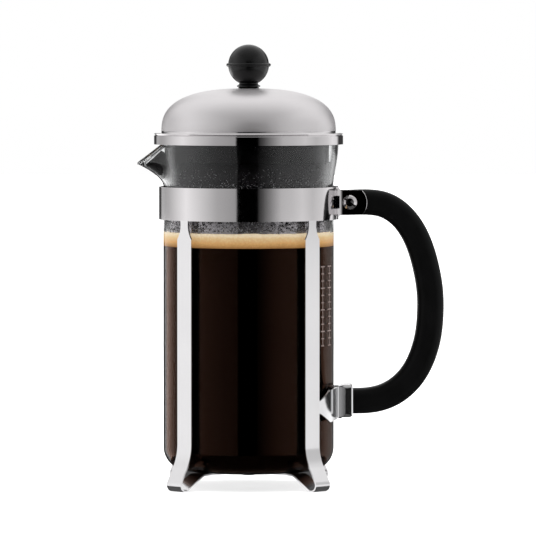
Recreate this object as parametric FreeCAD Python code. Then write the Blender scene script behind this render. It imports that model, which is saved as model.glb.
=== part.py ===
import FreeCAD, Part
import math
import os

os.makedirs("parts", exist_ok=True)

V = FreeCAD.Vector
UP = V(0, 0, 1)

# ---- driving dimensions (mm); z = 0 is the table, heights are above it ----
AXIS_X = -23.33         # beaker axis, so that the whole press is centred over the origin

# steel frame: two leg straps, a clamp band and the handle bracket, all on one ring
SHEET = 0.9
RING_R = 49.75          # middle of the sheet thickness
STRAP_W = 11.0
STRAP_TOP = 150.0
NECK_W = 5.9
NECK_Z = 139.5
STRAP_Z = 8.55          # middle of the strap under the beaker
STRAP_JOGGLE = 1.0      # the lower strap passes under the upper one
BAND_Z = (149.7, 168.0)
EAR_Z = (152.4, 165.8)
EAR_END = 66.2
EAR_Y = 8.05            # middle of each ear
EAR_BEND = 4.3          # radius of the bend at its root
BOLT = (56.5, 159.3)    # x, z of the clamp bolt
BOLT_R = 2.0
HEAD_R = 4.0
EAR_SLOT = ((47.4, 50.8), (155.9, 163.0))   # x and z of the opening at the front ear's root
WING_LINE = [(32.0, 42.6, 49.8), (30.4, 42.6, 49.8), (21.1, 37.2, 55.2), (5.0, 38.5, 56.1)]   # y, z, z
FERRULE_SIDE = [(50.0, 38.8), (58.4, 39.0), (58.4, 57.4), (54.0, 57.4), (50.0, 56.2)]    # x, z
FERRULE_PLAN = [(50.0, 7.2), (54.0, 9.0), (57.6, 8.8), (58.4, 8.2)]      # x, half width
SOCKET_X = 53.0         # bottom of the socket

# handle, a bent bar with a rounded section
HANDLE_DEPTH = 14.0     # at both ends
HANDLE_BELLY = 14.8     # half way round
HANDLE_WIDTH = 15.0
HANDLE_LINE = [
    (51.5, 159.0), (58.0, 159.1), (66.4, 159.2), (76.1, 157.6), (85.1, 151.9), (91.9, 143.1),
    (96.6, 132.4), (99.7, 120.9), (101.5, 109.6), (101.8, 97.6), (100.6, 84.9), (97.4, 73.1),
    (92.2, 63.0), (84.4, 54.8), (75.6, 50.0), (65.6, 48.0), (58.6, 47.8), (53.1, 47.8),
]

# glass beaker
GLASS_R = 47.7
WALL = 1.8
BEAKER_Z = 9.15
BEAKER_TOP = 193.0
CORNER_R = 12.7
# distance from the axis, height of the underside and half width along the spout
SPOUT = [
    (40.0, 160.0, 17.5), (46.5, 168.5, 17.0), (49.3, 174.9, 14.5),
    (53.6, 178.0, 10.5), (58.4, 179.6, 6.6), (62.6, 180.4, 3.0),
]
LIP_SLOPE = ((48.5, 192.0), (62.6, 181.6))

# lid
DOME_R = 48.8
DOME_Z = 198.5
DOME_H = 24.3
DOME_POWER = 2.6
LID_SHEET = 0.6
SKIRT_R = 52.95
SKIRT_Z = 191.6
GUIDE_R = 4.4
COLLAR_R = 45.0
COLLAR_Z = (178.6, 193.2)

# plunger
ROD_R = 2.0
RUN = 0.06              # radial running clearance of the rod in its guide
ROD_Z = (26.0, 232.0)
KNOB_Z = 223.65
KNOB_BALL_Z = 235.9
KNOB_R = 11.4
FILTER_Z = 30.0
SPRING_R = 43.4
SPRING_WIRE_R = 1.9


# ---- helpers ----
def polar(r, degrees, z=0.0):
    a = math.radians(degrees)
    return V(r * math.cos(a), r * math.sin(a), z)


def cylinder(r, z0, z1, x=0.0, y=0.0):
    return Part.makeCylinder(r, z1 - z0, V(x, y, z0))


def tube(r_out, r_in, z0, z1):
    return cylinder(r_out, z0, z1).cut(cylinder(r_in, z0 - 1, z1 + 1))


def block(x0, x1, y0, y1, z0, z1):
    return Part.makeBox(x1 - x0, y1 - y0, z1 - z0, V(x0, y0, z0))


def polygon_face(points):
    return Part.Face(Part.makePolygon(points + points[:1]))


def turned(points):
    """Solid of revolution about the beaker axis from (radius, height) corners."""
    return polygon_face([V(r, 0, z) for r, z in points]).revolve(V(0, 0, 0), UP, 360)


def corner_arc(a, b, c, r):
    """Tangent arc of radius r in the corner a-b-c: start, middle and end."""
    u, w = (a - b).normalize(), (c - b).normalize()
    half = u.getAngle(w) / 2
    reach = r / math.tan(half)
    centre = b + (u + w).normalize() * (r / math.sin(half))
    return b + u * reach, centre + (b - centre).normalize() * r, b + w * reach


def rounded_path(points, radii):
    """Edges along the points, with a tangent arc of the given radius in each corner."""
    edges, start = [], points[0]
    for a, b, c, r in zip(points, points[1:], points[2:], radii):
        t0, mid, t1 = corner_arc(a, b, c, r)
        edges += [Part.makeLine(start, t0), Part.Arc(t0, mid, t1).toShape()]
        start = t1
    return edges + [Part.makeLine(start, points[-1])]


def shifted(points, radii, d, normal):
    """The same path moved sideways by d, its corner arcs kept concentric."""
    sides = [normal.cross(b - a).normalize() for a, b in zip(points, points[1:])]
    moved, new_radii = [points[0] + sides[0] * d], []
    for p, r, s, e in zip(points[1:], radii, sides, sides[1:]):
        moved.append(p + (s + e) * (d / (1 + s.dot(e))))
        new_radii.append(r - d if normal.dot(s.cross(e)) > 0 else r + d)
    return moved + [points[-1] + sides[-1] * d], new_radii


def strip_face(points, radii, thickness, normal):
    """Face of a bent strip seen on edge, its middle line along the points."""
    left = shifted(points, radii, thickness / 2, normal)
    right = shifted(points, radii, -thickness / 2, normal)
    ends = [Part.makeLine(left[0][i], right[0][i]) for i in (0, -1)]
    edges = rounded_path(*left) + rounded_path(*right) + ends
    return Part.Face(Part.Wire(Part.__sortEdges__(edges)))


def rounded_rectangle(width, height, r):
    """Closed wire of a width (Y) by height (Z) rectangle about the origin, in the YZ plane."""
    w, h = width / 2, height / 2
    corners = [V(0, w, -h), V(0, w, h), V(0, -w, h), V(0, -w, -h)]
    start = V(0, 0, -h)
    edges = rounded_path([start] + corners + [start], [r] * 4)
    return Part.Wire(Part.__sortEdges__(edges))


def mirrored(shape):
    return shape.mirror(V(0, 0, 0), V(0, 1, 0))


# ---- steel frame ----
def strap_line(joggle):
    """Half of a strap's middle line (distance from the axis, height), top to centre."""
    line = [(RING_R, STRAP_TOP), (RING_R, 19.0), (60.45, SHEET / 2), (53.2, SHEET / 2),
            (40.2, STRAP_Z)]
    radii = [26.0, 3.4, 2.0, 7.0]
    if joggle:
        line += [(13.0, STRAP_Z), (11.0, STRAP_Z - joggle)]
        radii += [2.0, 2.0]
    return line, radii


def neck_cutters():
    """The two hollow-sided notches that narrow a leg to its neck below the band."""
    half, neck, top = STRAP_W / 2, NECK_W / 2, STRAP_TOP + 5
    mid = V(0, (half + neck) / 2 - 0.9, (NECK_Z + BAND_Z[0]) / 2 - 0.6)
    arc = Part.Arc(V(0, half, NECK_Z), mid, V(0, neck, BAND_Z[0])).toShape()
    rest = Part.makePolygon([V(0, neck, BAND_Z[0]), V(0, neck, top), V(0, half + 2, top),
                             V(0, half + 2, NECK_Z), V(0, half, NECK_Z)])
    side = Part.Face(Part.Wire([arc] + rest.Edges)).extrude(V(200, 0, 0))
    side.translate(V(-100, 0, 0))
    return side.fuse(mirrored(side))


def leg_strap(azimuth, joggle):
    """One steel strap: leg down, toe, under the beaker and up as the opposite leg."""
    line, radii = strap_line(joggle)
    across = [(-r, z) for r, z in reversed(line)]
    points = [V(r, -STRAP_W / 2, z) for r, z in line + across]
    face = strip_face(points, radii + radii[::-1], SHEET, V(0, 1, 0))
    strap = face.extrude(V(0, STRAP_W, 0)).cut(neck_cutters()).cut(cylinder(2.05, 0, 20))
    strap.rotate(V(0, 0, 0), UP, azimuth)
    return strap


def cross_rivet():
    """Rivet that holds the two straps together under the beaker, sunk below the upper face."""
    top = STRAP_Z + SHEET / 2
    shank = cylinder(2.0, top - 2 * SHEET - 0.6, top)
    head = turned([(0, top - 3.3), (3.0, top - 3.0), (3.6, top - 2.4), (3.6, top - 2.0), (0, top - 2.0)])
    return shank.fuse(head).removeSplitter()


def wrapped_sheet(ear_y, bend, x_end, a_end, z0, z1):
    """Sheet on the ring from azimuth a_end to an outward bend and a straight ear (+Y side)."""
    c = V(math.sqrt((RING_R + bend) ** 2 - (ear_y + bend) ** 2), ear_y + bend, 0)
    a_bend = math.degrees(math.atan2(c.y, c.x))
    towards_ear, towards_ring = V(0, -1, 0), polar(-1, a_bend)
    middle = (towards_ear + towards_ring).normalize()
    edges, ends = [], []
    for side in (SHEET / 2, -SHEET / 2):
        r, f, y = RING_R + side, bend - side, ear_y + side
        ear, foot = V(x_end, y, 0), V(c.x, y, 0)
        edges.append(Part.makeLine(ear, foot))
        edges.append(Part.Arc(foot, c + middle * f, polar(r, a_bend)).toShape())
        edges.append(Part.Arc(polar(r, a_bend), polar(r, (a_bend + a_end) / 2), polar(r, a_end)).toShape())
        ends.append((ear, polar(r, a_end)))
    edges += [Part.makeLine(a, b) for a, b in zip(*ends)]
    sheet = Part.Face(Part.Wire(Part.__sortEdges__(edges))).extrude(V(0, 0, z1 - z0))
    sheet.translate(V(0, 0, z0))
    return sheet


def ear_outline():
    """Side view of the band: full height round the glass, a lower ear with an arc for its end."""
    z0, z1 = EAR_Z
    corners = [V(51.5, 0, z0), V(50.3, 0, z0 - 1.2), V(50.3, 0, 140), V(-60, 0, 140), V(-60, 0, 175),
               V(50.3, 0, 175), V(50.3, 0, z1 + 1.2), V(51.5, 0, z1)]
    tip = Part.Arc(V(EAR_END - 2.6, 0, z1), V(EAR_END, 0, (z0 + z1) / 2),
                   V(EAR_END - 2.6, 0, z0)).toShape()
    outline = [Part.makeLine(a, b) for a, b in zip(corners, corners[1:])]
    outline += [Part.makeLine(corners[-1], tip.Vertexes[0].Point), tip,
                Part.makeLine(tip.Vertexes[-1].Point, corners[0])]
    plate = Part.Face(Part.Wire(Part.__sortEdges__(outline))).extrude(V(0, 140, 0))
    plate.translate(V(0, -70, 0))
    return plate


def clamp_band():
    """Open spring ring round the glass whose two ends turn out as ears beside the handle."""
    half = wrapped_sheet(EAR_Y, EAR_BEND, EAR_END + 2, 180.0, *BAND_Z)
    band = half.fuse(mirrored(half)).removeSplitter().common(ear_outline())
    tips = [e for e in band.Edges if e.BoundBox.XMax > EAR_END - 0.01 and e.BoundBox.YLength < 0.01]
    band = band.makeChamfer(0.22, tips)
    (x0, x1), (z0, z1) = EAR_SLOT
    return band.cut(across_y(2.15, -30, 30)).cut(block(x0, x1, -22, -5, z0, z1))


def across_y(r, y0, y1):
    """Cylinder along Y on the clamp bolt's line."""
    return Part.makeCylinder(r, y1 - y0, V(BOLT[0], y0, BOLT[1]), V(0, 1, 0))


def clamp_bolt():
    """Slotted round-head screw through both ears and the handle."""
    face = -EAR_Y - SHEET / 2
    profile = [(0, 0), (HEAD_R, 0), (HEAD_R, 0.7), (3.4, 1.5), (2.3, 2.1), (0, 2.4)]
    head = polygon_face([V(r, -h, 0) for r, h in profile]).revolve(V(0, 0, 0), V(0, 1, 0), 360)
    head.translate(V(BOLT[0], face, BOLT[1]))
    slot = block(-6, 6, face - 3, face - 1.0, -0.45, 0.45)
    slot.rotate(V(0, 0, 0), V(0, 1, 0), 35)
    slot.translate(V(BOLT[0], 0, BOLT[1]))
    return head.fuse(across_y(BOLT_R, face - 0.2, 17.0)).removeSplitter().cut(slot)


def clamp_washer():
    face = EAR_Y + SHEET / 2 + 0.02
    return across_y(4.1, face, face + 0.8).cut(across_y(BOLT_R + 0.08, 0, 20))


def clamp_nut():
    """Hexagon nut with chamfered corners, running on the screw."""
    face = EAR_Y + SHEET / 2 + 0.84
    hexagon = polygon_face([polar(4.05, 60 * i + 30) for i in range(6)]).extrude(V(0, 0, 3.2))
    round_off = Part.makeCone(5.6, 3.4, 5.5).common(Part.makeCylinder(8, 3.2))
    body = hexagon.common(round_off)
    body.rotate(V(0, 0, 0), V(1, 0, 0), -90)
    body.translate(V(BOLT[0], face, BOLT[1]))
    return body.cut(across_y(BOLT_R + 0.06, 0, 20))


def prism(points, radii, along, length):
    """Closed outline with rounded corners, extruded to both sides of its plane."""
    start = (points[0] + points[-1]) / 2
    edges = rounded_path([start] + points + [start], radii)
    solid = Part.Face(Part.Wire(Part.__sortEdges__(edges))).extrude(along * length)
    solid.translate(along * (-length / 2))
    return solid


def ferrule_body():
    """Outside of the ferrule: flared from the wings to its widest line, then rolled in at the mouth."""
    side = prism([V(x, 0, z) for x, z in FERRULE_SIDE], [1.0, 2.4, 2.4, 1.5, 1.0], V(0, 1, 0), 40)
    right = [V(x, y, 0) for x, y in FERRULE_PLAN]
    left = [V(x, -y, 0) for x, y in reversed(FERRULE_PLAN)]
    plan = prism(right + left, [0.3, 0.5, 0.3, 0.3, 0.3, 0.3, 0.5, 0.3], V(0, 0, 1), 140)
    tube_like = Part.Face(rounded_rectangle(18.0, 18.6, 2.6)).extrude(V(20, 0, 0))
    tube_like.translate(V(45, 0, 48.1))
    return side.common(plan).common(tube_like)


def handle_ferrule():
    """Short steel socket that holds the handle's foot."""
    bore = Part.Face(rounded_rectangle(HANDLE_WIDTH + 0.3, HANDLE_DEPTH + 0.3, 4.6)).extrude(V(20, 0, 0))
    bore.translate(V(SOCKET_X, 0, HANDLE_LINE[-1][1]))
    return ferrule_body().cut(bore)


def bracket_wing(front):
    """Tapered steel plate from a leg round to the ferrule, its end turned out against it."""
    sheet = wrapped_sheet(6.9, 1.8, 52.0, 39.5, 30.0, 62.0)
    low = [V(0, y, z) for y, z, _ in WING_LINE]
    high = [V(0, y, z) for y, _, z in reversed(WING_LINE)]
    wing = sheet.common(polygon_face(low + high).extrude(V(80, 0, 0)))
    inside = ferrule_body()
    inside.translate(V(0.05, 0, 0))
    wing = wing.cut(inside)
    return mirrored(wing) if front else wing


def handle():
    """Black D-shaped handle: a rounded bar, a little deeper half way round than at its ends."""
    line = Part.BSplineCurve()
    line.interpolate([V(x, 0, z) for x, z in HANDLE_LINE])
    path = Part.Wire(line.toShape())
    sections = []
    for share, depth in ((0.0, HANDLE_DEPTH), (0.5, HANDLE_BELLY), (1.0, HANDLE_DEPTH)):
        at = line.FirstParameter + share * (line.LastParameter - line.FirstParameter)
        along = line.tangent(at)[0]
        section = rounded_rectangle(HANDLE_WIDTH, depth, 4.5)
        section.rotate(V(0, 0, 0), V(0, 1, 0), math.degrees(math.atan2(-along.z, along.x)))
        section.translate(line.value(at))
        sections.append(section)
    bar = path.makePipeShell(sections, True, False)
    return bar.cut(across_y(2.9, -20, 20))


def handle_bush():
    """Steel tube in the handle that takes the squeeze of the clamp screw."""
    half = HANDLE_WIDTH / 2
    return across_y(2.85, -half, half).cut(across_y(BOLT_R + 0.1, -20, 20))


# ---- glass ----
def glass_side(inset):
    """Solid of the beaker's outside, or of its inside when inset by the wall."""
    r, low, bend = GLASS_R - inset, BEAKER_Z + inset, CORNER_R - inset
    flare = [(168.0, 0.0), (172.0, 0.4), (182.0, 1.3), (188.0, 2.4), (BEAKER_TOP + inset, 2.6)]
    wall = Part.BSplineCurve()
    wall.interpolate([V(r + dr, 0, z) for z, dr in flare])
    foot = Part.Arc(V(r - bend, 0, low), V(r - bend * (1 - math.sqrt(0.5)), 0,
                    low + bend * (1 - math.sqrt(0.5))), V(r, 0, low + bend)).toShape()
    top = BEAKER_TOP + inset
    straight = [Part.makeLine(V(0, 0, low), V(r - bend, 0, low)), foot,
                Part.makeLine(V(r, 0, low + bend), V(r, 0, 168.0)), wall.toShape(),
                Part.makeLine(V(r + 2.6, 0, top), V(0, 0, top)),
                Part.makeLine(V(0, 0, top), V(0, 0, low))]
    return Part.Face(Part.Wire(Part.__sortEdges__(straight))).revolve(V(0, 0, 0), UP, 360)


def spout_side(inset):
    """Tapering channel of the spout, pointing along -X: round below, open above."""
    wires = []
    for reach, under, half in SPOUT:
        x, w, z, top = -reach, half - inset, under + inset, BEAKER_TOP + 4
        depth = min(w, 6.0 + w / 2)
        sides = z + depth
        bowl = Part.BSplineCurve()
        bowl.interpolate([V(x, -w * math.cos(math.radians(a)), sides - depth * math.sin(math.radians(a)))
                          for a in range(0, 181, 30)])
        frame = Part.makePolygon([V(x, w, sides), V(x, w, top), V(x, -w, top), V(x, -w, sides)])
        wires.append(Part.Wire([bowl.toShape()] + frame.Edges))
    return Part.makeLoft(wires, True, False)


def beaker():
    """Borosilicate jug: straight wall, round foot, flared rim and a pulled spout."""
    outer = glass_side(0).fuse(spout_side(0))
    inner = glass_side(WALL).fuse(spout_side(WALL))
    (x0, z0), (x1, z1) = LIP_SLOPE
    above = polygon_face([V(-x0, 0, z0), V(-x1 - 4, 0, z1 - 4 * (z0 - z1) / (x1 - x0)),
                          V(-x1 - 4, 0, 210), V(-x0, 0, 210)]).extrude(V(0, 80, 0))
    above.translate(V(0, -40, 0))
    jug = outer.cut(inner).cut(above).cut(cylinder(70, BEAKER_TOP, 220))
    return max(jug.Solids, key=lambda s: s.Volume)


# ---- lid ----
def dome_curve(r, h, r_start):
    """Quarter of a superellipse from radius r_start at the top down to the foot of the dome."""
    start = math.acos((r_start / r) ** (DOME_POWER / 2))
    points = []
    for i in range(25):
        t = start * (1 - i / 24)
        points.append(V(r * math.cos(t) ** (2 / DOME_POWER), 0,
                        DOME_Z + h * math.sin(t) ** (2 / DOME_POWER)))
    curve = Part.BSplineCurve()
    curve.interpolate(points)
    return curve.toShape(), points[0], points[-1]


def lid_dome():
    """Pressed steel lid: dome, narrow flange with a fine bead and a short plain skirt."""
    outer, top_out, foot_out = dome_curve(DOME_R, DOME_H, GUIDE_R + 0.1)
    inner, top_in, foot_in = dome_curve(DOME_R - LID_SHEET, DOME_H - LID_SHEET, GUIDE_R + 0.1)
    r, t = SKIRT_R, LID_SHEET
    outside = [foot_out, V(DOME_R + 0.4, 0, 198.05), V(r - 2.2, 0, 197.9), V(r - 1.2, 0, 198.0),
               V(r - 0.4, 0, 197.9), V(r, 0, 197.6), V(r - 0.1, 0, 197.25), V(r - 0.6, 0, 197.05),
               V(r - 0.65, 0, 196.8), V(r - 0.1, 0, 196.55), V(r, 0, 196.3), V(r, 0, SKIRT_Z)]
    inside = [V(r - t, 0, SKIRT_Z), V(r - t, 0, 195.9), V(r - 1.4, 0, 196.4), V(r - 1.5, 0, 197.2),
              V(DOME_R, 0, 197.35), foot_in]
    edges = [outer, inner, Part.makeLine(top_out, top_in)]
    edges += Part.makePolygon(outside + inside).Edges
    profile = Part.Face(Part.Wire(Part.__sortEdges__(edges)))
    return profile.revolve(V(0, 0, 0), UP, 360)


def lid_liner():
    """Flat plate under the dome that rests on the glass rim and carries the collar."""
    z = BEAKER_TOP + 0.25
    plate = tube(51.6, GUIDE_R + 0.6, z, z + 1.0)
    for i in range(3):
        lug = block(DOME_R - 4.0, DOME_R - 0.9, -4, 4, z + 0.9, DOME_Z + 1.0)
        lug.rotate(V(0, 0, 0), UP, 120 * i + 60)
        plate = plate.fuse(lug)
    return plate.removeSplitter()


def splash_collar():
    """Dark ring that hangs inside the rim, with a row of strainer slots towards the spout."""
    low, high = COLLAR_Z
    collar = tube(COLLAR_R, COLLAR_R - 0.9, low, high)
    for i in range(-4, 5):
        slot = block(COLLAR_R - 3, COLLAR_R + 3, -0.8, 0.8, low + 2.5, low + 9.5)
        slot.rotate(V(0, 0, 0), UP, 180 + 4.2 * i)
        collar = collar.cut(slot)
    return collar


def rod_guide():
    """Flanged bush at the crown of the lid in which the plunger rod runs."""
    top = DOME_Z + DOME_H
    body = turned([(0, top - 9.0), (GUIDE_R - 0.8, top - 9.0), (GUIDE_R, top - 8.2), (GUIDE_R, top + 0.05),
                   (5.8, top + 0.05), (5.8, top + 0.45), (5.4, top + 0.8), (0, top + 0.8)])
    return body.cut(cylinder(ROD_R + RUN, 200, 240))


# ---- plunger ----
def plunger_rod():
    rod = cylinder(ROD_R, *ROD_Z)
    ends = [e for e in rod.Edges if e.Curve.TypeId == "Part::GeomCircle"]
    return rod.makeChamfer(0.4, ends)


def knob():
    """Ball knob with a fine ridge at its equator, a slim neck and a flared collar."""
    ball, ridge, z0 = KNOB_R, KNOB_R + 1.05, KNOB_BALL_Z
    neck_a = math.radians(-60.5)
    low = V(ball * math.cos(neck_a), 0, z0 + ball * math.sin(neck_a))
    step = math.asin(1.0 / ball)
    edges = [Part.Arc(V(0, 0, z0 + ball), V(ball * math.cos(0.8), 0, z0 + ball * math.sin(0.8)),
                      V(ball * math.cos(step), 0, z0 + 1.0)).toShape(),
             Part.Arc(V(ball * math.cos(step), 0, z0 + 1.0), V(ridge, 0, z0),
                      V(ball * math.cos(step), 0, z0 - 1.0)).toShape(),
             Part.Arc(V(ball * math.cos(step), 0, z0 - 1.0),
                      V(ball * math.cos(-0.6), 0, z0 + ball * math.sin(-0.6)), low).toShape()]
    flare = Part.BSplineCurve()
    flare.interpolate([low, V(5.2, 0, 225.5), V(5.5, 0, 224.95), V(6.3, 0, 224.5)])
    edges.append(flare.toShape())
    edges += Part.makePolygon([V(6.3, 0, 224.5), V(6.5, 0, 224.2), V(6.45, 0, KNOB_Z), V(0, 0, KNOB_Z),
                               V(0, 0, z0 + ball)]).Edges
    body = Part.Face(Part.Wire(Part.__sortEdges__(edges))).revolve(V(0, 0, 0), UP, 360)
    return body.cut(cylinder(3.52, KNOB_Z - 1, 233.0))


def knob_insert():
    """Threaded brass bush moulded into the knob, which screws on the rod."""
    return tube(3.5, ROD_R + 0.02, KNOB_Z + 0.4, 232.6)


def rod_collar():
    """Shoulder fixed on the rod that presses on the filter stack."""
    z = FILTER_Z + 3.2
    body = turned([(0, z), (7.0, z), (7.0, z + 1.2), (3.6, z + 2.2), (3.6, z + 5.5), (0, z + 5.5)])
    return body.cut(cylinder(ROD_R + 0.02, 0, 60))


def ring_of_holes(r, count, place_r):
    holes = [cylinder(r, 0, 60, *polar(place_r, 360 * i / count)[:2]) for i in range(count)]
    return holes[0].multiFuse(holes[1:]) if count > 1 else holes[0]


def spiral_plate():
    """Pressed plate above the mesh with a raised hub, holes and a rolled seat for the spring."""
    z, t = FILTER_Z + 1.2, 0.6
    edge = SPRING_R - SPRING_WIRE_R - 0.35
    plate = turned([(ROD_R + 0.05, z + 1.3), (9.0, z + 1.3), (12.0, z), (edge - 2.0, z), (edge, z + 1.4),
                    (edge, z + 1.4 + t), (edge - 2.0, z + t), (12.0, z + t), (9.0, z + 1.3 + t),
                    (ROD_R + 0.05, z + 1.3 + t)])
    return plate.cut(ring_of_holes(3.2, 12, 19.0)).cut(ring_of_holes(3.2, 18, 31.0))


def edge_spring():
    """Coiled spring ring that seals the filter against the glass, drawn as its envelope."""
    return Part.makeTorus(SPRING_R, SPRING_WIRE_R, V(0, 0, FILTER_Z + 2.6))


def mesh_screen():
    """Fine woven steel disc with its rim turned up."""
    z, r = FILTER_Z, 44.6
    screen = turned([(ROD_R + 0.05, z), (r, z), (r + 0.4, z + 0.9), (r + 0.1, z + 0.95),
                     (r - 0.2, z + 0.3), (ROD_R + 0.05, z + 0.3)])
    return screen


def cross_plate():
    """Bottom plate of the filter: hub, four wide arms and an outer ring."""
    z = FILTER_Z - 1.1
    plate = tube(41.5, ROD_R + 0.05, z, z + 0.8)
    window = Part.Face(Part.Wire(Part.__sortEdges__(window_edges(14.0, 37.0))))
    cutter = window.extrude(V(0, 0, 4))
    cutter.translate(V(0, 0, z - 1))
    for i in range(4):
        turn = cutter.copy()
        turn.rotate(V(0, 0, 0), UP, 90 * i)
        plate = plate.cut(turn)
    return plate


def window_edges(r_in, r_out):
    """Outline of one window between two arms of the cross plate."""
    a_in, a_out = math.degrees(5.0 / r_in), math.degrees(5.0 / r_out)
    arcs = [Part.Arc(polar(r, a), polar(r, 45), polar(r, 90 - a)).toShape()
            for r, a in ((r_in, a_in), (r_out, a_out))]
    return arcs + [Part.makeLine(polar(r_in, a_in), polar(r_out, a_out)),
                   Part.makeLine(polar(r_in, 90 - a_in), polar(r_out, 90 - a_out))]


def cross_hub():
    """Threaded boss under the cross plate that closes the stack on the rod."""
    z = FILTER_Z - 1.15
    body = turned([(0, z - 3.6), (4.4, z - 3.6), (5.0, z - 3.0), (5.0, z), (0, z)])
    return body.cut(cylinder(ROD_R + 0.02, 0, 60))


PARTS = {
    "clamp_band": clamp_band(),
    "leg_strap_upper": leg_strap(-45, 0.0),
    "leg_strap_lower": leg_strap(45, STRAP_JOGGLE),
    "cross_rivet": cross_rivet(),
    "bracket_wing_front": bracket_wing(True),
    "bracket_wing_rear": bracket_wing(False),
    "handle_ferrule": handle_ferrule(),
    "handle": handle(),
    "handle_bush": handle_bush(),
    "clamp_bolt": clamp_bolt(),
    "clamp_washer": clamp_washer(),
    "clamp_nut": clamp_nut(),
    "beaker": beaker(),
    "lid_dome": lid_dome(),
    "lid_liner": lid_liner(),
    "splash_collar": splash_collar(),
    "rod_guide": rod_guide(),
    "plunger_rod": plunger_rod(),
    "knob": knob(),
    "knob_insert": knob_insert(),
    "rod_collar": rod_collar(),
    "spiral_plate": spiral_plate(),
    "edge_spring": edge_spring(),
    "mesh_screen": mesh_screen(),
    "cross_plate": cross_plate(),
    "cross_hub": cross_hub(),
}

for name, shape in PARTS.items():
    shape.translate(V(AXIS_X, 0, 0))
    shape.exportStep("parts/" + name + ".step")
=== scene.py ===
import math
import random

import bmesh
import bpy
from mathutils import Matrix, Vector


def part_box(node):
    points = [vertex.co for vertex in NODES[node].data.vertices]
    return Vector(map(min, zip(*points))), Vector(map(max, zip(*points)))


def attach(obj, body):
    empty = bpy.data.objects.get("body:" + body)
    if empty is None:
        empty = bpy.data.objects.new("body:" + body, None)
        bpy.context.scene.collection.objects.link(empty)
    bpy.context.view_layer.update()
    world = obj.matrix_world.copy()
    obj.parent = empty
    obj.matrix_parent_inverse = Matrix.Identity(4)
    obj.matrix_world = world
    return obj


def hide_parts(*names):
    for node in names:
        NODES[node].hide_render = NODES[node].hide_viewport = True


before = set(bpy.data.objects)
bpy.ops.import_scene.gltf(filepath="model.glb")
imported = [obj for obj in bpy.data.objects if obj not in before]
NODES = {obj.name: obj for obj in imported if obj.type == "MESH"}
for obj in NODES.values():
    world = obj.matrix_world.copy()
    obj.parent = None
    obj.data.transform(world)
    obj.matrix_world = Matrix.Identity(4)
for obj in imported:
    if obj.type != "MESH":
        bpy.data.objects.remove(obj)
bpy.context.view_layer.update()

MM = 0.001


rod_low, rod_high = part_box("plunger_rod")
AXIS = (rod_low.x + rod_high.x) / 2      # x of the beaker's upright axis, metres

# ---- sizes of the glass and what it holds (mm, heights above the table) ----
GLASS_R = 47.7
WALL = 1.8
GLASS_FOOT = 9.15
GLASS_TOP = 192.9
GLASS_CORNER = 12.7      # radius of the rounded edge at the foot
RIM_FOOT = 160.0         # from here up (the change is behind the band) the glass bends light more
WAIST = 0.3              # depth of a slight waist: it sets in at WAIST_FOOT, fades above WAIST_TOP
WAIST_FOOT = 164.0
WAIST_TOP = 170.0
FLARE = 2.55             # how far the wall opens out from FLARE_FOOT to the rim
FLARE_FOOT = 166.0
SPOUT_FOOT = 167.5       # height at which the spout begins to swell out of the wall
SPOUT_HALF = 0.50        # half the angle that the spout takes of the rim, radians
SPOUT_PULL = 13.2        # how far the spout's tip stands out
LIP_LOW = 180.6          # height of the spout's tip
BEAD = 1.08              # radius of the rim's bead
COFFEE_TOP = 134.8
CREMA_TOP = 142.7
FILM_FOOT = 142.8        # the fogged zone comes down to the foam
FILM_TOP = 181.5
FILM_GAP = 0.8           # between the wall and the film
PARK_LOW = 149.9         # between these heights the filter is parked when the plunger is up
PARK_HIGH = 166.2
PARK_FADE = 1.8          # height over which the film comes close to the wall there
SCALE_FOOT = 80.0        # lowest and highest stroke of the measuring scale
SCALE_TOP = 124.0
IN_GLASS = 0.12          # what touches the glass reaches this far into it, so no air shows between
FLANGE_DROP = 0.0238     # metres from the top of the lid down to the top of its polished skirt


# ---------------------------------------------------------------- helpers
def link(name, mesh):
    obj = bpy.data.objects.new(name, mesh)
    bpy.context.scene.collection.objects.link(obj)
    return obj


def mesh_object(name, verts, faces, smooth=True):
    """Mesh object from points in millimetres."""
    mesh = bpy.data.meshes.new(name)
    mesh.from_pydata([tuple(c * MM for c in v) for v in verts], [], faces)
    mesh.validate()
    for p in mesh.polygons:
        p.use_smooth = smooth
    mesh.update()
    return link(name, mesh)


def lathe(name, profile, segments=192):
    """Surface of revolution about the beaker axis from (radius, height) points in mm."""
    ax = AXIS / MM
    verts, faces, rings = [], [], []
    for r, z in profile:
        if r < 1e-6:
            rings.append([len(verts)] * segments)
            verts.append((ax, 0.0, z))
            continue
        rings.append(list(range(len(verts), len(verts) + segments)))
        verts += [(ax + r * math.cos(2 * math.pi * i / segments),
                   r * math.sin(2 * math.pi * i / segments), z) for i in range(segments)]
    for a, b in zip(rings, rings[1:]):
        for i in range(segments):
            j = (i + 1) % segments
            quad = [a[i], a[j], b[j], b[i]]
            face = [v for k, v in enumerate(quad) if v not in quad[:k]]
            if len(face) > 2:
                faces.append(face)
    obj = mesh_object(name, verts, faces)
    outward(obj)
    return obj


def outward(obj):
    """Turn all faces of a closed mesh outwards."""
    bm = bmesh.new()
    bm.from_mesh(obj.data)
    bmesh.ops.recalc_face_normals(bm, faces=bm.faces)
    bm.to_mesh(obj.data)
    bm.free()


def smoothstep(t):
    t = min(max(t, 0.0), 1.0)
    return t * t * (3 - 2 * t)


def around_spout(i, count):
    """Angle of point i of a ring of count points, from the spout, between -pi and pi."""
    a = 2 * math.pi * i / count
    return a if a <= math.pi else a - 2 * math.pi


def from_spout(angle, r, z):
    """Point (mm) at a radius from the beaker's axis; the angle is measured from the spout."""
    return (AXIS / MM - r * math.cos(angle), r * math.sin(angle), z)


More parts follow.
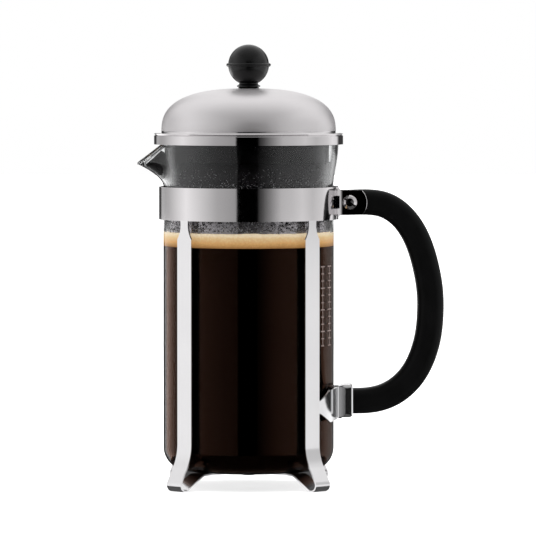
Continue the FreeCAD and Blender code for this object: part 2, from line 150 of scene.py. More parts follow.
def arc(cx, cz, r, a0, a1, n):
    """Points of a circular arc in the profile plane, angles in degrees."""
    return [(cx + r * math.cos(math.radians(a0 + (a1 - a0) * i / n)),
             cz + r * math.sin(math.radians(a0 + (a1 - a0) * i / n))) for i in range(n + 1)]


# ---------------------------------------------------------------- materials
def fill_ramp(ramp, stops):
    """Set a colour ramp from (position, grey or colour) stops in rising order."""
    ramp.elements.remove(ramp.elements[1])
    ramp.elements[0].position = stops[0][0]
    for pos, _ in stops[1:]:
        ramp.elements.new(pos)
    for element, (_, colour) in zip(ramp.elements, stops):
        colour = colour if isinstance(colour, tuple) else (colour, colour, colour)
        element.color = (*colour, 1.0)


class Mat:
    """A node material: a Principled shader with helpers that add procedural detail to it."""

    def __init__(self, name, **sockets):
        self.mat = bpy.data.materials.new(name)
        self.mat.use_nodes = True
        self.tree = self.mat.node_tree
        self.shader = self.tree.nodes["Principled BSDF"]
        for key, value in sockets.items():
            self.set(key.replace("_", " "), value)
        self.coord = self.tree.nodes.new("ShaderNodeTexCoord")

    def set(self, socket, value):
        if isinstance(value, tuple) and len(value) == 3:
            value = (*value, 1.0)
        self.shader.inputs[socket].default_value = value

    def node(self, kind, **props):
        n = self.tree.nodes.new(kind)
        for key, value in props.items():
            setattr(n, key, value)
        return n

    def wire(self, out, into):
        self.tree.links.new(out, into)

    def place(self, scale=(1, 1, 1)):
        """Object coordinates, stretched by scale."""
        mapping = self.node("ShaderNodeMapping")
        mapping.inputs["Scale"].default_value = scale
        self.wire(self.coord.outputs["Object"], mapping.inputs["Vector"])
        return mapping.outputs["Vector"]

    def noise(self, size, detail=3.0, stretch=(1, 1, 1)):
        """Noise whose features are about size metres across."""
        n = self.node("ShaderNodeTexNoise")
        n.inputs["Scale"].default_value = 1.0 / size
        n.inputs["Detail"].default_value = detail
        n.inputs["Roughness"].default_value = 0.55
        self.wire(self.place(stretch), n.inputs["Vector"])
        return n.outputs["Fac"]

    def cells(self, size):
        """Distance from the middle of round cells that are about size metres across."""
        n = self.node("ShaderNodeTexVoronoi", feature="F1")
        n.inputs["Scale"].default_value = 1.0 / size
        self.wire(self.place(), n.inputs["Vector"])
        return n.outputs["Distance"]

    def ramp(self, fac, stops):
        n = self.node("ShaderNodeValToRGB")
        fill_ramp(n.color_ramp, stops)
        self.wire(fac, n.inputs["Fac"])
        return n.outputs["Color"]

    def span(self, fac, low, high):
        """Stretch a 0 to 1 value to low..high."""
        n = self.node("ShaderNodeMapRange")
        n.inputs["To Min"].default_value = low
        n.inputs["To Max"].default_value = high
        self.wire(fac, n.inputs["Value"])
        return n.outputs["Result"]

    def colour(self, out):
        self.wire(out, self.shader.inputs["Base Color"])

    def rough(self, out):
        self.wire(out, self.shader.inputs["Roughness"])

    def bump(self, height, distance, strength=1.0):
        n = self.node("ShaderNodeBump")
        n.inputs["Strength"].default_value = strength
        n.inputs["Distance"].default_value = distance
        self.wire(height, n.inputs["Height"])
        self.wire(n.outputs["Normal"], self.shader.inputs["Normal"])

    def height_axis(self):
        """Height above the table at rest, in metres."""
        split = self.node("ShaderNodeSeparateXYZ")
        self.wire(self.coord.outputs["Object"], split.inputs["Vector"])
        return split.outputs["Z"]


def polished_steel(name="polished_steel", tint=(0.81, 0.785, 0.795), low=0.05, high=0.11):
    """Bright steel; low and high are the least and most roughness."""
    m = Mat(name, Metallic=1.0)
    wear = m.noise(0.02, 4)
    m.colour(m.ramp(wear, [(0.3, tuple(c * 0.96 for c in tint)), (0.7, tint)]))
    m.rough(m.span(m.noise(0.004, 5), low, high))
    m.bump(m.noise(0.0006, 2, (1, 1, 0.05)), 0.000004)
    return m.mat


def satin_steel(name="satin_steel", tint=(0.87, 0.86, 0.87), low=0.10, high=0.16,
                grain=(1, 1, 0.02)):
    """Steel with fine upright grinding marks, or none where grain is even."""
    m = Mat(name, Metallic=1.0)
    m.colour(m.ramp(m.noise(0.03, 4), [(0.25, tuple(c * 0.95 for c in tint)), (0.75, tint)]))
    m.rough(m.span(m.noise(0.0012, 4, grain), low, high))
    m.bump(m.noise(0.0005, 3, grain), 0.000006)
    return m.mat


def dome_steel(skirt_top):
    """Satin dome over a polished skirt; the change is at the flange, at a height in metres."""
    m = Mat("dome_steel")
    m.colour(m.ramp(m.noise(0.025, 4), [(0.3, (0.74, 0.715, 0.725)), (0.7, (0.78, 0.755, 0.765))]))
    step = m.node("ShaderNodeMapRange")
    step.inputs["From Min"].default_value = skirt_top - 0.0002
    step.inputs["From Max"].default_value = skirt_top + 0.0004
    m.wire(m.height_axis(), step.inputs["Value"])
    mix = m.node("ShaderNodeMix", data_type="FLOAT")
    m.wire(step.outputs["Result"], mix.inputs["Factor"])
    m.wire(m.span(m.noise(0.004, 4), 0.04, 0.08), mix.inputs["A"])
    m.wire(m.span(m.noise(0.002, 5), 0.35, 0.42), mix.inputs["B"])
    m.rough(mix.outputs["Result"])
    m.wire(m.span(step.outputs["Result"], 1.0, 0.82), m.shader.inputs["Metallic"])
    m.bump(m.noise(0.0004, 3, (1, 1, 0.2)), 0.000004)
    return m.mat


def black_plastic(name="black_plastic", low=0.42, high=0.52, shine=0.14):
    m = Mat(name, Specular_IOR_Level=shine)
    m.colour(m.ramp(m.noise(0.012, 3), [(0.3, (0.0016, 0.0016, 0.0017)),
                                        (0.7, (0.0028, 0.0028, 0.003))]))
    m.rough(m.span(m.noise(0.006, 4), low, high))
    m.bump(m.noise(0.0009, 4), 0.00002)
    return m.mat


def dark_liner():
    m = Mat("dark_liner", Specular_IOR_Level=0.3)
    m.colour(m.ramp(m.noise(0.01, 3), [(0.3, (0.004, 0.004, 0.005)), (0.7, (0.008, 0.007, 0.008))]))
    m.rough(m.span(m.noise(0.004, 4), 0.16, 0.26))
    m.bump(m.noise(0.0008, 3), 0.00001)
    return m.mat


def clear_glass(name, ior):
    m = Mat(name, Transmission_Weight=1.0, IOR=ior)
    m.colour(m.ramp(m.noise(0.05, 2), [(0.3, (0.93, 0.94, 0.945)), (0.7, (0.96, 0.965, 0.97))]))
    m.rough(m.span(m.noise(0.02, 3), 0.0, 0.012))
    m.bump(m.noise(0.03, 2), 0.00004)
    return m.mat


def coffee_liquid():
    """Black coffee: a dark mirror that turns brown where it is seen edge on."""
    m = Mat("coffee_liquid", Metallic=1.0, Specular_Tint=(0.98, 0.77, 0.69))
    m.colour(m.ramp(m.noise(0.03, 3), [(0.3, (0.0115, 0.0046, 0.0026)),
                                       (0.7, (0.0145, 0.0060, 0.0036))]))
    m.rough(m.span(m.noise(0.01, 3), 0.05, 0.09))
    m.bump(m.noise(0.02, 2), 0.00002)
    return m.mat


def crema_foam():
    """Tan foam, paler upwards, with a brown line where it meets the coffee, and a painted glow in its
    own colour.
    """
    m = Mat("crema_foam", Roughness=0.6, Specular_IOR_Level=0.2)
    bubbles = m.cells(0.0012)
    level = m.node("ShaderNodeMapRange")
    level.inputs["From Min"].default_value = COFFEE_TOP * MM - 0.0003
    level.inputs["From Max"].default_value = CREMA_TOP * MM
    wander = m.node("ShaderNodeMath", operation="MULTIPLY_ADD")
    m.wire(m.noise(0.014, 3), wander.inputs[0])
    wander.inputs[1].default_value = 0.0016
    m.wire(m.height_axis(), wander.inputs[2])
    m.wire(wander.outputs[0], level.inputs["Value"])
    tone = m.ramp(level.outputs["Result"], [(0.0, (0.13, 0.055, 0.020)), (0.16, (0.40, 0.20, 0.070)),
                                            (0.45, (0.69, 0.40, 0.15)), (0.8, (0.84, 0.60, 0.32)),
                                            (1.0, (0.95, 0.80, 0.56))])
    mix = m.node("ShaderNodeMix", data_type="RGBA", blend_type="MULTIPLY")
    mix.inputs["Factor"].default_value = 0.3
    m.wire(tone, mix.inputs["A"])
    m.wire(m.ramp(bubbles, [(0.1, (1.0, 1.0, 1.0)), (0.7, (0.62, 0.52, 0.42))]), mix.inputs["B"])
    m.colour(mix.outputs["Result"])
    m.wire(mix.outputs["Result"], m.shader.inputs["Emission Color"])    # painted glow: the foam shines with its own colour, standing in for light scattered in it
    m.set("Emission Strength", 0.6)
    m.bump(bubbles, 0.0003, 0.6)
    return m.mat


def steam_and_shade_film():
    """Fogged inside of the glass: misty low down; above the band a near-black gloss, painted shade
    that stands in for the shaded inside of the beaker.
    """
    m = Mat("steam_and_shade_film", IOR=1.27)
    level = m.node("ShaderNodeMapRange")
    level.inputs["From Min"].default_value = FILM_FOOT * MM
    level.inputs["From Max"].default_value = FILM_TOP * MM
    m.wire(m.height_axis(), level.inputs["Value"])
    # the tone goes from pale mist at the foam to near black above the band: the near black is painted
    # shade for the inside of the beaker
    tone = m.ramp(level.outputs["Result"], [(0.0, (0.60, 0.565, 0.59)), (0.15, (0.50, 0.47, 0.49)),
                                            (0.45, (0.30, 0.28, 0.30)), (0.62, (0.05, 0.046, 0.05)),
                                            (1.0, (0.012, 0.011, 0.012))])
    mix = m.node("ShaderNodeMix", data_type="RGBA", blend_type="MULTIPLY")
    mix.inputs["Factor"].default_value = 0.6
    m.wire(tone, mix.inputs["A"])
    m.wire(m.ramp(m.noise(0.0012, 5), [(0.3, 0.5), (0.7, 1.0)]), mix.inputs["B"])
    m.colour(mix.outputs["Result"])
    m.wire(m.ramp(level.outputs["Result"], [(0.2, 0.6), (0.45, 0.9), (0.62, 0.0)]),
           m.shader.inputs["Metallic"])
    m.rough(m.span(m.noise(0.004, 4), 0.07, 0.14))
    m.bump(m.cells(0.0013), 0.00003, 0.25)
    return m.mat


def water_drops():
    m = Mat("water_drops", IOR=1.45, Transmission_Weight=0.15)
    # the drops' colour runs at random from grey to white: painted glints, standing in for the
    # highlights of clear water
    m.colour(m.ramp(m.noise(0.003, 2), [(0.40, (0.22, 0.21, 0.22)), (0.6, (1.0, 0.98, 1.0))]))
    m.rough(m.span(m.noise(0.002, 2), 0.03, 0.12))
    m.bump(m.noise(0.001, 2), 0.00002)
    return m.mat


def scale_print():
    m = Mat("scale_print", Specular_IOR_Level=0.3)
    m.colour(m.ramp(m.noise(0.001, 3), [(0.3, (0.24, 0.18, 0.165)), (0.7, (0.34, 0.27, 0.25))]))
    m.rough(m.span(m.noise(0.0008, 2), 0.4, 0.6))
    return m.mat


def woven_wire():
    m = Mat("woven_wire", Metallic=1.0)
    waves = []
    for direction in ("X", "Y"):
        w = m.node("ShaderNodeTexWave", bands_direction=direction)
        w.inputs["Scale"].default_value = 260.0
        m.wire(m.place(), w.inputs["Vector"])
        waves.append(w.outputs["Fac"])
    both = m.node("ShaderNodeMath", operation="MULTIPLY")
    m.wire(waves[0], both.inputs[0])
    m.wire(waves[1], both.inputs[1])
    m.colour(m.ramp(both.outputs[0], [(0.1, (0.62, 0.61, 0.60)), (0.6, (0.16, 0.16, 0.16))]))
    m.rough(m.span(m.noise(0.003, 3), 0.3, 0.45))
    m.bump(both.outputs[0], 0.0002, 0.8)
    return m.mat


def turned_brass():
    m = Mat("turned_brass", Metallic=1.0)
    m.colour(m.ramp(m.noise(0.004, 3), [(0.3, (0.55, 0.39, 0.16)), (0.7, (0.72, 0.54, 0.26))]))
    m.rough(m.span(m.noise(0.001, 3, (1, 1, 12)), 0.2, 0.35))
    m.bump(m.noise(0.0006, 2, (1, 1, 12)), 0.00001)
    return m.mat


def dress(obj, material):
    """Give an object one material, in place of those it has."""
    obj.data.materials.clear()
    obj.data.materials.append(material)
    return obj


# ---------------------------------------------------------------- the glass
def wall_radius(z):
    """Outer radius of the beaker at a height, without the spout."""
    low = GLASS_FOOT + GLASS_CORNER
    if z < low:
        drop = min(low - z, GLASS_CORNER)
        return GLASS_R - GLASS_CORNER + math.sqrt(GLASS_CORNER ** 2 - drop ** 2)
    if z < WAIST_FOOT:
        return GLASS_R
    t = max(z - FLARE_FOOT, 0.0) / (GLASS_TOP - FLARE_FOOT)
    waist = smoothstep((z - WAIST_FOOT) / 5.0) * (1 - smoothstep((z - WAIST_TOP) / 16.0))
    return GLASS_R - WAIST * waist + FLARE * smoothstep(t) + 0.15 * t


def spout_share(angle):
    """1 on the spout's middle line, 0 at its sides and all round the rest of the rim."""
    away = abs(angle) / SPOUT_HALF
    return (0.5 + 0.5 * math.cos(math.pi * away)) ** 1.35 if away < 1 else 0.0


def glass_point(angle, z, inset):
    """Radius of the beaker's wall at a height; the angle is measured from the spout."""
    rise = min(max((z - SPOUT_FOOT) / (LIP_LOW - SPOUT_FOOT), 0.0), 1.0)
    return wall_radius(z) - inset + SPOUT_PULL * rise ** 1.9 * spout_share(angle) ** 1.25


def lip_height(angle):
    """Height of the rim: level all round, dipping down to the spout's tip."""
    return GLASS_TOP - (GLASS_TOP - LIP_LOW) * spout_share(angle)


def beaker_glass():
    """Clear wall with a rounded foot, flared rim and spout, as inner and outer skins."""
    around, up, turns = 256, 72, 12        # points round a ring, rings up the wall, rings of the foot
    verts, faces, skins = [], [], []
    for inset in (0.0, WALL):
        rings = []
        foot = GLASS_FOOT + inset
        corner = GLASS_CORNER - inset
        for k in range(-turns, up + 1):
            ring = []
            for i in range(around):
                angle = around_spout(i, around)
                if k < 0:
                    turn = math.radians(90 * (turns + k) / turns)
                    z = foot + corner * (1 - math.cos(turn))
                    r = GLASS_R - GLASS_CORNER + corner * math.sin(turn)
                else:
                    base = foot + corner
                    z = base + (lip_height(angle) - base) * (k / up) ** 0.8
                    r = glass_point(angle, z, inset)
                ring.append(len(verts))
                verts.append(from_spout(angle, r, z))
            rings.append(ring)
        centre = len(verts)
        verts.append((AXIS / MM, 0.0, foot))
        skins.append((rings, centre))
    for s, (rings, centre) in enumerate(skins):
        for a, b in zip(rings, rings[1:]):
            for i in range(around):
                j = (i + 1) % around
                quad = (a[i], a[j], b[j], b[i])
                faces.append(quad if s else quad[::-1])
        for i in range(around):
            j = (i + 1) % around
            tri = (centre, rings[0][j], rings[0][i])
            faces.append(tri if s else tri[::-1])
    # the lip: a fire-polished bead, fatter at the spout, in place of a flat edge
    outer, inner = skins[0][0][-1], skins[1][0][-1]
    sides = 10
    rings = []
    for i in range(around):
        p, q = Vector(verts[outer[i]]), Vector(verts[inner[i]])
        out = (p - q).normalized()
        fat = BEAD + 0.22 * spout_share(around_spout(i, around))
        centre = (p + q) / 2 + Vector((0, 0, 0.1)) - out * (fat - WALL / 2)
        ring = [outer[i]]
        for k in range(sides + 1):
            turn = math.radians(-28 + 236 * k / sides)
            ring.append(len(verts))
            verts.append(tuple(centre + out * fat * math.cos(turn)
                               + Vector((0, 0, fat * math.sin(turn)))))
        rings.append(ring + [inner[i]])
    for i in range(around):
        a, b = rings[i], rings[(i + 1) % around]
        faces += [(a[k], a[k + 1], b[k + 1], b[k]) for k in range(len(a) - 1)]
    glass = mesh_object("beaker_glass", verts, faces)
    outward(glass)
    return glass


def coffee():
    """Coffee that fills the beaker; its top edge has close points, so that it shades as an edge."""
    r = GLASS_R - WALL + IN_GLASS
    foot = GLASS_FOOT + WALL - IN_GLASS
    corner = GLASS_CORNER - WALL + IN_GLASS
    profile = [(0.0, foot)] + arc(GLASS_R - GLASS_CORNER, foot + corner, corner, -90, 0, 14)
    profile += [(r, foot + corner + 1.0), (r, COFFEE_TOP - 0.2), (r, COFFEE_TOP),
                (r - 0.2, COFFEE_TOP)]
    body = lathe("coffee", profile + [(0.0, COFFEE_TOP)])
    return dress(body, coffee_liquid())


def crema():
    """Foam on the coffee: it climbs the glass unevenly and its surface is slightly rough."""
    r = GLASS_R - WALL + IN_GLASS
    edge = [(0.0, COFFEE_TOP + 0.02), (r, COFFEE_TOP + 0.02), (r, COFFEE_TOP + 1.6),
            (r, COFFEE_TOP + 3.4), (r, CREMA_TOP - 0.6), (r, CREMA_TOP), (r - 0.4, CREMA_TOP + 0.1)]
    top = [(r - 1.0, CREMA_TOP - 0.2), (r - 2.2, CREMA_TOP - 0.45), (r - 3.6, CREMA_TOP - 0.55)]
    top += [(r * k / 40, CREMA_TOP - 0.6) for k in range(36, -1, -1)]
    foam = lathe("crema", edge + top, 320)
    rng = random.Random(3)
    swells = [(rng.uniform(60, 260), rng.uniform(0, 6.3), rng.uniform(0, 6.3)) for _ in range(9)]
    froth = [(rng.uniform(500, 1500), rng.uniform(0, 6.3), rng.uniform(0, 6.3)) for _ in range(14)]
    for v in foam.data.vertices:
        if v.co.z > (CREMA_TOP - 0.7) * MM:
            for waves, size in ((swells, 0.00007), (froth, 0.00005)):
                v.co.z += size * sum(math.sin(f * (v.co.x * math.cos(d) + v.co.y * math.sin(d)) + p)
                                     for f, d, p in waves)
    return dress(foam, crema_foam())


def fogged_and_shaded_wall():
    """Film of steam inside the glass from the foam up to the lid's collar; near black above the band,
    as painted shade for the dark inside of the beaker.
    Behind the band it lies close to the wall, where the filter is parked when the plunger is up."""
    around, up = 192, 44
    verts, faces = [], []
    for k in range(up + 1):
        for i in range(around):
            angle = around_spout(i, around)
            top = min(FILM_TOP + 12.0 * smoothstep(3 * spout_share(angle)), lip_height(angle) - 1.6)
            z = FILM_FOOT + (top - FILM_FOOT) * k / up
            parked = (smoothstep((z - PARK_LOW) / PARK_FADE)
                      * (1 - smoothstep((z - PARK_HIGH) / PARK_FADE)))
            r = glass_point(angle, z, WALL + FILM_GAP - (FILM_GAP - 0.03) * parked)
            verts.append(from_spout(angle, r, z))
    for k in range(up):
        for i in range(around):
            j = (i + 1) % around
            faces.append((k * around + i, (k + 1) * around + i, (k + 1) * around + j, k * around + j))
    return dress(mesh_object("steam_and_shade_film", verts, faces), steam_and_shade_film())


def condensation():
    """Water drops on the inside of the glass: large above the foam, fine above the band."""
    rng = random.Random(7)
    verts, faces = [], []
    sides = 7
    # count, lowest and highest, smallest and largest, and 1 where they get fewer and smaller upwards
    zones = [(1900, 143.1, 150.0, 0.18, 0.55, 0.0),
             (3000, 166.8, 178.5, 0.12, 0.38, 1.0)]
    for count, low, high, small, large, thin in zones:
        for _ in range(count):
            rise = rng.random()
            if thin:
                rise = rise ** 2.4
            z = low + (high - low) * rise
            a = rng.uniform(-math.pi, math.pi)
            size = (small + (large - small) * rng.random() ** 2.6) * (1 - 0.45 * thin * rise)
            wide, tall = size * rng.uniform(0.8, 1.25), size * rng.uniform(0.8, 1.5)
            tilt = rng.uniform(-0.9, 0.9)
            wall = glass_point(a, z, WALL) - 0.01
            first = len(verts)
            for ring, depth in ((1.0, 0.0), (0.8, 0.28), (0.42, 0.46)):
                for i in range(sides):
                    t = 2 * math.pi * i / sides
                    wobble = 1 + 0.18 * math.sin(2 * t + a * 7)
                    u, h = ring * wide * wobble * math.cos(t), ring * tall * wobble * math.sin(t)
                    u, h = (u * math.cos(tilt) - h * math.sin(tilt),
                            u * math.sin(tilt) + h * math.cos(tilt))
                    verts.append(from_spout(a + u / wall, wall - depth * size, z + h))
            verts.append(from_spout(a, wall - 0.52 * size, z))
            for level in (0, sides):
                for i in range(sides):
                    j = (i + 1) % sides
                    faces.append((first + level + i, first + level + j,
                                  first + level + sides + j, first + level + sides + i))
            for i in range(sides):
                faces.append((first + 2 * sides + i, first + 2 * sides + (i + 1) % sides,
                              first + 3 * sides))
            faces.append(tuple(first + i for i in range(sides))[::-1])
    drops = mesh_object("condensation", verts, faces)
    outward(drops)
    return dress(drops, water_drops())


def level_marks():
    """Plain measuring scale on the glass: two fine upright lines crossed by strokes."""
    ax = AXIS / MM
    verts, faces = [], []

    def stroke(a0, a1, z0, z1):
        """Thin patch on the wall; the angles are measured from the front towards the handle."""
        steps = max(2, int(abs(a1 - a0) / 0.02))
        first = len(verts)
        for r in (GLASS_R - 0.02, GLASS_R + 0.07):
            for i in range(steps + 1):
                a = a0 + (a1 - a0) * i / steps
                x, y = ax + r * math.sin(a), -r * math.cos(a)
                verts.extend([(x, y, z0), (x, y, z1)])
        n = 2 * (steps + 1)
        for i in range(steps):
            p = first + 2 * i
            q = p + n
            faces.extend([(q, q + 2, q + 3, q + 1), (p + 1, p + 3, p + 2, p),
                          (p, p + 2, q + 2, q), (q + 1, q + 3, p + 3, p + 1)])
        last = first + 2 * steps
        faces.extend([(first, first + n, first + n + 1, first + 1),
                      (last + 1, last + n + 1, last + n, last)])

    strokes = 12
    for middle, half in ((1.045, 0.046), (1.235, 0.060)):
        stroke(middle - 0.005, middle + 0.005, SCALE_FOOT, SCALE_TOP)
        for i in range(strokes):
            z = SCALE_FOOT + (SCALE_TOP - SCALE_FOOT) * i / (strokes - 1)
            wide = half if i % 3 == 2 else half * 0.7
            stroke(middle - wide, middle - 0.006, z - 0.30, z + 0.30)
            stroke(middle + 0.006, middle + wide, z - 0.30, z + 0.30)
    marks = mesh_object("level_marks", verts, faces, False)
    outward(marks)
    return dress(marks, scale_print())


glass = dress(beaker_glass(), clear_glass("wall_glass", 1.08))
glass.data.materials.append(clear_glass("rim_glass", 1.30))
for face in glass.data.polygons:
    face.material_index = 1 if face.center.z > RIM_FOOT * MM else 0
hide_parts("beaker")
ON_GLASS = [(glass, "glass"), (coffee(), "coffee"), (crema(), "crema"), (fogged_and_shaded_wall(), "glass"),
            (condensation(), "glass"), (level_marks(), "scale_ink")]
for piece, slot in ON_GLASS:
    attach(piece, "beaker")


# ---------------------------------------------------------------- sealing spring of the filter
def spring_coil():
    """Fine wire wound into a coil that is bent round into a ring."""
    low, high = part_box("edge_spring")
    ring_z = (low.z + high.z) / 2 / MM
    tube = (high.z - low.z) / 2 / MM
    ring_r = (high.x - low.x) / 2 / MM - tube
    wire, turns, steps, sides = 0.27, 150, 14, 5
    ax = AXIS / MM
    verts, faces = [], []
    total = turns * steps
    for i in range(total):
        a, b = 2 * math.pi * i / total, 2 * math.pi * i / steps
        out, up = math.cos(b), math.sin(b)
        for k in range(sides):
            t = 2 * math.pi * k / sides
            coil = tube - wire + wire * math.cos(t)
            r = ring_r + coil * out
            along = a + wire * math.sin(t) / ring_r
            verts.append((ax + r * math.cos(along), r * math.sin(along), ring_z + coil * up))
    for i in range(total):
        j = (i + 1) % total
        for k in range(sides):
            n = (k + 1) % sides
            faces.append((i * sides + k, j * sides + k, j * sides + n, i * sides + n))
    coil = mesh_object("spring_coil", verts, faces)
    outward(coil)
    return coil


# ---------------------------------------------------------------- CAD nodes keep their shape
steel = polished_steel()
leg = satin_steel()
bracket = polished_steel("bracket_steel", (0.90, 0.90, 0.91), 0.12, 0.18)
filter_steel = satin_steel("filter_steel", (0.66, 0.65, 0.65), 0.25, 0.38, (1, 1, 1))
plastic = black_plastic()
liner = dark_liner()
MATERIALS = {
    "clamp_band": steel, "handle_ferrule": bracket, "clamp_bolt": steel, "clamp_washer": steel,
    "clamp_nut": steel, "leg_strap_upper": leg, "leg_strap_lower": leg, "cross_rivet": leg,
    "bracket_wing_front": bracket, "bracket_wing_rear": bracket, "handle": plastic,
    "handle_bush": filter_steel, "lid_dome": dome_steel(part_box("lid_dome")[1].z - FLANGE_DROP),
    "lid_liner": liner, "splash_collar": liner, "rod_guide": plastic, "plunger_rod": filter_steel,
    "knob": black_plastic("knob_plastic", 0.20, 0.28, 0.4), "knob_insert": turned_brass(),
    "rod_collar": filter_steel, "spiral_plate": filter_steel, "edge_spring": filter_steel,
    "mesh_screen": woven_wire(), "cross_plate": filter_steel, "cross_hub": filter_steel,
}
for name, material in MATERIALS.items():
    dress(NODES[name], material)
spring = dress(spring_coil(), filter_steel)
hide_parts("edge_spring")
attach(spring, "plunger")


# ---------------------------------------------------------------- stage, light and camera
PIT = -0.42              # height of the dark card: surfaces mirror the tent down to here, metres
TENT_RADIUS = 1.35
TENT_HEIGHT = 1.5
ROOF_HALF = 1.36

# brightness of the tent by angle in degrees from the camera, positive on the handle's side,
# at the height of the band and the lid
TENT = [(-180, 1.0), (-171, 1.0), (-169, 0.04), (-153, 0.04), (-146, 0.50), (-132, 0.44),
        (-122, 0.50), (-104, 0.76), (-86, 1.0), (-68, 0.78), (-40, 0.46), (-15.5, 0.36),
        (-14.2, 0.0), (11.6, 0.0), (12.8, 0.03), (18, 0.08), (28, 0.25), (42, 0.54), (56, 0.60),
        (72, 0.72), (89, 0.58), (109, 0.74), (122, 0.95), (134, 0.85), (141, 0.05), (168, 0.05),
        (171, 1.0), (180, 1.0)]
# the same low down, for the coffee and the legs
TENT_LOW = [(-180, 0.04), (-158, 0.10), (-152, 1.90), (-140, 1.90), (-131, 1.60), (-124, 1.20),
            (-116, 0.80), (-104, 0.76), (-86, 1.0), (-68, 0.90), (-40, 0.50), (-15.5, 0.36),
            (-14.2, 0.0), (11.6, 0.0), (12.8, 0.05), (28, 0.35), (42, 0.70), (72, 0.90),
            (109, 0.85), (118, 0.95), (126, 1.10), (134, 1.15), (142, 0.65), (160, 0.40),
            (166, 0.04), (180, 0.04)]
# and high up, for the dome
TENT_TOP = [(-180, 0.95), (-90, 0.90), (-60, 0.62), (-30, 0.38), (0, 0.30), (30, 0.36),
            (60, 0.62), (90, 0.90), (180, 0.95)]
# brightness of the roof from the camera's side to the back
ROOF = [(0.0, 0.34), (0.25, 0.42), (0.5, 0.66), (0.75, 0.95), (1.0, 0.95)]


def plane(name, half, z):
    """Level square of the stage, in metres."""
    corners = [(-half, -half, z), (half, -half, z), (half, half, z), (-half, half, z)]
    obj = mesh_object(name, [tuple(c / MM for c in v) for v in corners], [(0, 1, 2, 3)], False)
    return obj


def floor():
    """Pale floor, over a dark card that only mirror images in the steel and the coffee show."""
    top = plane("floor", 7.0, 0.0)
    m = Mat("pale_floor", Roughness=0.7, Specular_IOR_Level=0.1)
    m.colour(m.ramp(m.noise(0.4, 2), [(0.3, (0.90, 0.90, 0.90)), (0.7, (0.92, 0.92, 0.92))]))
    m.set("Emission Color", (1.0, 1.0, 1.0))
    m.set("Emission Strength", 0.74)
    dress(top, m.mat)
    top.visible_glossy = top.visible_transmission = False
    card = plane("floor_card", 1.5, PIT)
    dark = Mat("dark_card", Roughness=0.9, Specular_IOR_Level=0.0)
    dark.colour(dark.ramp(dark.noise(0.3, 2), [(0.3, 0.03), (0.7, 0.04)]))
    dark.set("Emission Color", (1.0, 1.0, 1.0))
    dark.set("Emission Strength", 0.035)
    dress(card, dark.mat)
    card.visible_camera = card.visible_diffuse = card.visible_shadow = False


def glow_material(name):
    """Material that only shines. Returns it with the makers of its nodes and links, the object's
    coordinates, and the socket that takes its brightness."""
    mat = bpy.data.materials.new(name)
    mat.use_nodes = True
    tree = mat.node_tree
    tree.nodes.clear()
    new, wire = tree.nodes.new, tree.links.new
    coord, split = new("ShaderNodeTexCoord"), new("ShaderNodeSeparateXYZ")
    wire(coord.outputs["Object"], split.inputs["Vector"])
    glow, out = new("ShaderNodeEmission"), new("ShaderNodeOutputMaterial")
    wire(glow.outputs["Emission"], out.inputs["Surface"])
    return mat, new, wire, split.outputs, glow.inputs["Color"]


def tent():
    """Round light tent with a black card in front, which also stands for the camera, and dark
    edges at the back. It goes down past the floor, as if the press stood on a raised table."""
    segments = 180
    verts = []
    for z in (PIT, TENT_HEIGHT):
        for i in range(segments):
            a = 2 * math.pi * i / segments
            verts.append((TENT_RADIUS * math.sin(a), -TENT_RADIUS * math.cos(a), z))
    faces = [(i, (i + 1) % segments, segments + (i + 1) % segments, segments + i)
             for i in range(segments)]
    wall = mesh_object("light_tent", [tuple(c / MM for c in v) for v in verts], faces, False)
    wall.location.x = AXIS
    mat, new, wire, place, brightness = glow_material("tent_light")
    back, turn, share = new("ShaderNodeMath"), new("ShaderNodeMath"), new("ShaderNodeMapRange")
    back.operation = "MULTIPLY"
    back.inputs[1].default_value = -1.0
    wire(place["Y"], back.inputs[0])
    turn.operation = "ARCTAN2"
    wire(place["X"], turn.inputs[0])
    wire(back.outputs[0], turn.inputs[1])
    share.inputs["From Min"].default_value = -math.pi
    share.inputs["From Max"].default_value = math.pi
    wire(turn.outputs[0], share.inputs["Value"])
    ramps = []
    for table in (TENT_LOW, TENT, TENT_TOP):
        ramps.append(new("ShaderNodeValToRGB"))
        fill_ramp(ramps[-1].color_ramp, [(0.5 + a / 360, v) for a, v in table])
        wire(share.outputs["Result"], ramps[-1].inputs["Fac"])
    shade = ramps[0].outputs["Color"]
    # the heights in metres between which one table gives way to the next
    for above, low, high in ((ramps[1], 0.088, 0.104), (ramps[2], 0.50, 1.05)):
        up, mix = new("ShaderNodeMapRange"), new("ShaderNodeMix")
        up.interpolation_type, mix.data_type = "SMOOTHSTEP", "RGBA"
        up.inputs["From Min"].default_value, up.inputs["From Max"].default_value = low, high
        wire(place["Z"], up.inputs["Value"])
        wire(up.outputs["Result"], mix.inputs["Factor"])
        wire(shade, mix.inputs["A"])
        wire(above.outputs["Color"], mix.inputs["B"])
        shade = mix.outputs["Result"]
    wire(shade, brightness)
    dress(wall, mat)
    wall.visible_camera = False


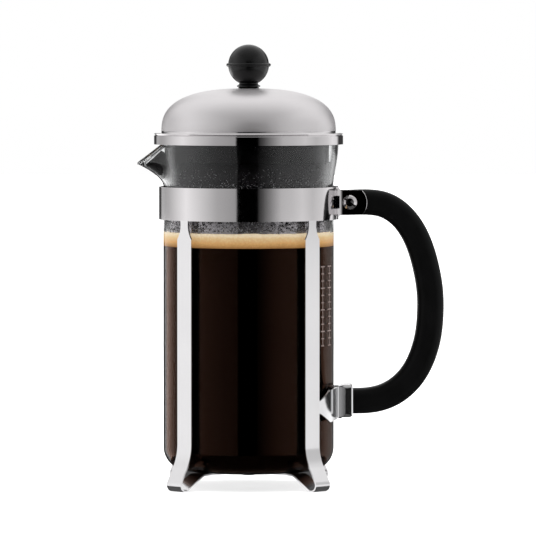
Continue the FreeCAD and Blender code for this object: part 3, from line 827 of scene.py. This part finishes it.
def ceiling():
    """Soft roof of the tent, dimmer towards the camera, that only polished surfaces mirror."""
    roof = plane("tent_roof", ROOF_HALF, TENT_HEIGHT)
    mat, new, wire, place, brightness = glow_material("roof_light")
    share, ramp = new("ShaderNodeMapRange"), new("ShaderNodeValToRGB")
    share.inputs["From Min"].default_value = -ROOF_HALF
    share.inputs["From Max"].default_value = ROOF_HALF
    wire(place["Y"], share.inputs["Value"])
    fill_ramp(ramp.color_ramp, ROOF)
    wire(share.outputs["Result"], ramp.inputs["Fac"])
    wire(ramp.outputs["Color"], brightness)
    dress(roof, mat)
    roof.visible_camera = roof.visible_diffuse = roof.visible_shadow = False


def studio():
    """White surroundings beyond the tent."""
    world = bpy.data.worlds.new("studio")
    bpy.context.scene.world = world
    world.use_nodes = True
    background = world.node_tree.nodes["Background"]
    background.inputs["Color"].default_value = (1.0, 1.0, 1.0, 1.0)
    background.inputs["Strength"].default_value = 1.0


def light(name, place, aim, size, power):
    """Soft lamp that no surface mirrors; place, aim and size in metres, power in watts."""
    data = bpy.data.lights.new(name, "AREA")
    data.shape, data.size, data.size_y, data.energy = "RECTANGLE", size[0], size[1], power
    lamp = bpy.data.objects.new(name, data)
    bpy.context.scene.collection.objects.link(lamp)
    lamp.location = place
    lamp.rotation_euler = (Vector(aim) - Vector(place)).to_track_quat("-Z", "Y").to_euler()
    lamp.visible_camera = lamp.visible_glossy = False


def camera():
    """Long lens in front of the press, looking slightly down at a point beside its axis."""
    data = bpy.data.cameras.new("camera")
    data.lens, data.sensor_width = 332.5, 36.0
    data.clip_start, data.clip_end = 0.1, 60.0
    cam = bpy.data.objects.new("camera", data)
    bpy.context.scene.collection.objects.link(cam)
    side, away = AXIS + 0.01085, 2.77
    aim = Vector((side, 0.0, 0.12223))
    cam.location = (side, -away, 0.243)
    cam.rotation_euler = (aim - cam.location).to_track_quat("-Z", "Y").to_euler()
    bpy.context.scene.camera = cam


floor()
tent()
ceiling()
studio()
light("top", (0.0, 0.2, 2.2), (0, 0, 0.1), (2.2, 2.2), 26.0)
camera()
bpy.context.scene.view_settings.view_transform = "Standard"
